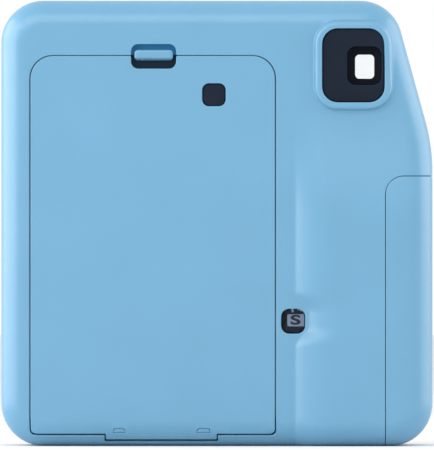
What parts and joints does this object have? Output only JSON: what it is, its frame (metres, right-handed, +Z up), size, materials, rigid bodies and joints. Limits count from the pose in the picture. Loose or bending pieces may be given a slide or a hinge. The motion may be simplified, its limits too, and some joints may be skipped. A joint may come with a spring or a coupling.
{
  "type": "instant camera",
  "caption": "Compact instant film camera with a hinged film door, see-through finder, turning lens ring, shutter button, battery cover and motor film drive.",
  "frame": {"origin": "centre of the bounding box in X and Y, at the base", "axes": "+Y is the way the lens looks, +X the viewer's right, +Z up"},
  "size_m": [0.122, 0.058, 0.126],
  "materials": {
    "case_plastic": "fine satin",
    "latch_plastic": "satin",
    "black_plastic": "satin",
    "gloss_black": "polished",
    "grey_plastic": "satin",
    "white_plastic": "satin",
    "clear_plastic": "polished",
    "steel": "brushed",
    "bright_metal": "polished",
    "brass": "satin",
    "foam": "matte",
    "circuit_board": "satin",
    "cell_sleeve": "satin"
  },
  "bodies": {
    "housing": {"rear_shell": "case_plastic", "front_shell": "case_plastic", "hinge_pin_left": "steel", "hinge_pin_right": "steel", "latch_keeper": "case_plastic", "battery_tray": "black_plastic", "battery_cell_lower": "cell_sleeve", "battery_cell_upper": "cell_sleeve", "battery_spring": "steel", "eyepiece_panel": "gloss_black", "eyepiece_lens": "clear_plastic", "finder_tube": "black_plastic", "finder_front_lens": "clear_plastic", "counter_window": "clear_plastic", "dial_post": "black_plastic", "film_frame": "black_plastic", "light_box": "black_plastic", "light_seal_left": "foam", "light_seal_right": "foam", "lens_base_ring": "case_plastic", "lens_guide": "black_plastic", "lens_rear_element": "clear_plastic", "shutter_plate": "black_plastic", "shutter_solenoid": "brass", "flash_window": "clear_plastic", "flash_reflector": "bright_metal", "flash_tube": "clear_plastic", "flash_capacitor": "cell_sleeve", "sensor_window": "gloss_black", "button_spring": "steel", "button_switch": "black_plastic", "main_board": "circuit_board", "idler_axle": "steel", "eject_motor": "steel", "roller_bracket_left": "steel", "roller_bracket_right": "steel", "case_screw_1": "steel", "case_screw_2": "steel", "case_screw_3": "steel"},
    "film_door": {"film_door": "case_plastic", "film_window": "gloss_black", "door_liner": "black_plastic", "pressure_spring_left": "steel", "pressure_spring_right": "steel", "latch_spring": "steel"},
    "door_latch": {"door_latch": "latch_plastic"},
    "battery_cover": {"battery_cover": "case_plastic"},
    "lens_ring": {"lens_ring": "grey_plastic"},
    "lens_barrel": {"lens_barrel": "black_plastic", "lens_face": "gloss_black", "lens_front_element": "clear_plastic", "selfie_mirror": "bright_metal"},
    "shutter_blade": {"shutter_blade": "steel"},
    "shutter_button": {"shutter_button": "white_plastic"},
    "counter_dial": {"counter_dial": "grey_plastic"},
    "film_claw": {"film_claw": "steel"},
    "drive_roller": {"drive_roller": "steel"},
    "pinch_roller": {"pinch_roller": "steel"},
    "idler_gear": {"idler_gear": "white_plastic"},
    "motor_pinion": {"motor_pinion": "brass"}
  },
  "joints": [
    {"name": "film_door_hinge", "type": "hinge", "parent": "housing", "child": "film_door", "pos_m": [-0.0157, -0.0244, 0.0043], "axis": [1, 0, 0], "range_deg": [0, 90]},
    {"name": "door_latch_slide", "type": "slide", "parent": "film_door", "child": "door_latch", "axis": [0, 0, -1], "range_m": [0, 0.0022], "stiffness_N_per_m": 400, "springref_m": -0.0005, "deforming": ["latch_spring"]},
    {"name": "battery_cover_slide", "type": "slide", "parent": "housing", "child": "battery_cover", "axis": [0, 0, -1], "range_m": [0, 0.008]},
    {"name": "lens_ring_turn", "type": "hinge", "parent": "housing", "child": "lens_ring", "pos_m": [-0.018, 0.018, 0.06], "axis": [0, 1, 0], "range_deg": [0, 80]},
    {"name": "lens_barrel_slide", "type": "slide", "parent": "housing", "child": "lens_barrel", "axis": [0, 1, 0], "range_m": [0, 0.0085]},
    {"name": "shutter_blade_swing", "type": "hinge", "parent": "housing", "child": "shutter_blade", "pos_m": [-0.004, 0.0088, 0.052], "axis": [0, 1, 0], "range_deg": [0, 40], "stiffness_Nm_per_rad": 0.0002, "springref_deg": -11.46},
    {"name": "shutter_button_press", "type": "slide", "parent": "housing", "child": "shutter_button", "axis": [0, -1, 0], "range_m": [0, 0.0016], "stiffness_N_per_m": 600, "springref_m": -0.0005, "deforming": ["button_spring"]},
    {"name": "counter_dial_turn", "type": "hinge", "parent": "housing", "child": "counter_dial", "pos_m": [0.0315, -0.0226, 0.0353], "axis": [0, 1, 0], "range_deg": [0, 264]},
    {"name": "film_claw_slide", "type": "slide", "parent": "housing", "child": "film_claw", "axis": [0, 0, 1], "range_m": [0, 0.006]},
    {"name": "drive_roller_spin", "type": "hinge", "parent": "housing", "child": "drive_roller", "pos_m": [0, -0.0056, 0.115], "axis": [1, 0, 0], "continuous": true},
    {"name": "pinch_roller_spin", "type": "hinge", "parent": "housing", "child": "pinch_roller", "pos_m": [0, -0.0136, 0.115], "axis": [1, 0, 0], "continuous": true},
    {"name": "idler_gear_spin", "type": "hinge", "parent": "housing", "child": "idler_gear", "pos_m": [0.0187, -0.0026, 0.10442], "axis": [1, 0, 0], "continuous": true},
    {"name": "motor_pinion_spin", "type": "hinge", "parent": "housing", "child": "motor_pinion", "pos_m": [0.0187, 0.0006, 0.09442], "axis": [1, 0, 0], "continuous": true}
  ],
  "couplings": [
    {"joint": "lens_barrel_slide", "follows": "lens_ring_turn", "m_per_rad": 0.00573},
    {"joint": "pinch_roller_spin", "follows": "drive_roller_spin", "ratio": -1},
    {"joint": "idler_gear_spin", "follows": "drive_roller_spin", "ratio": -0.57143},
    {"joint": "motor_pinion_spin", "follows": "drive_roller_spin", "ratio": 1.1429}
  ]
}
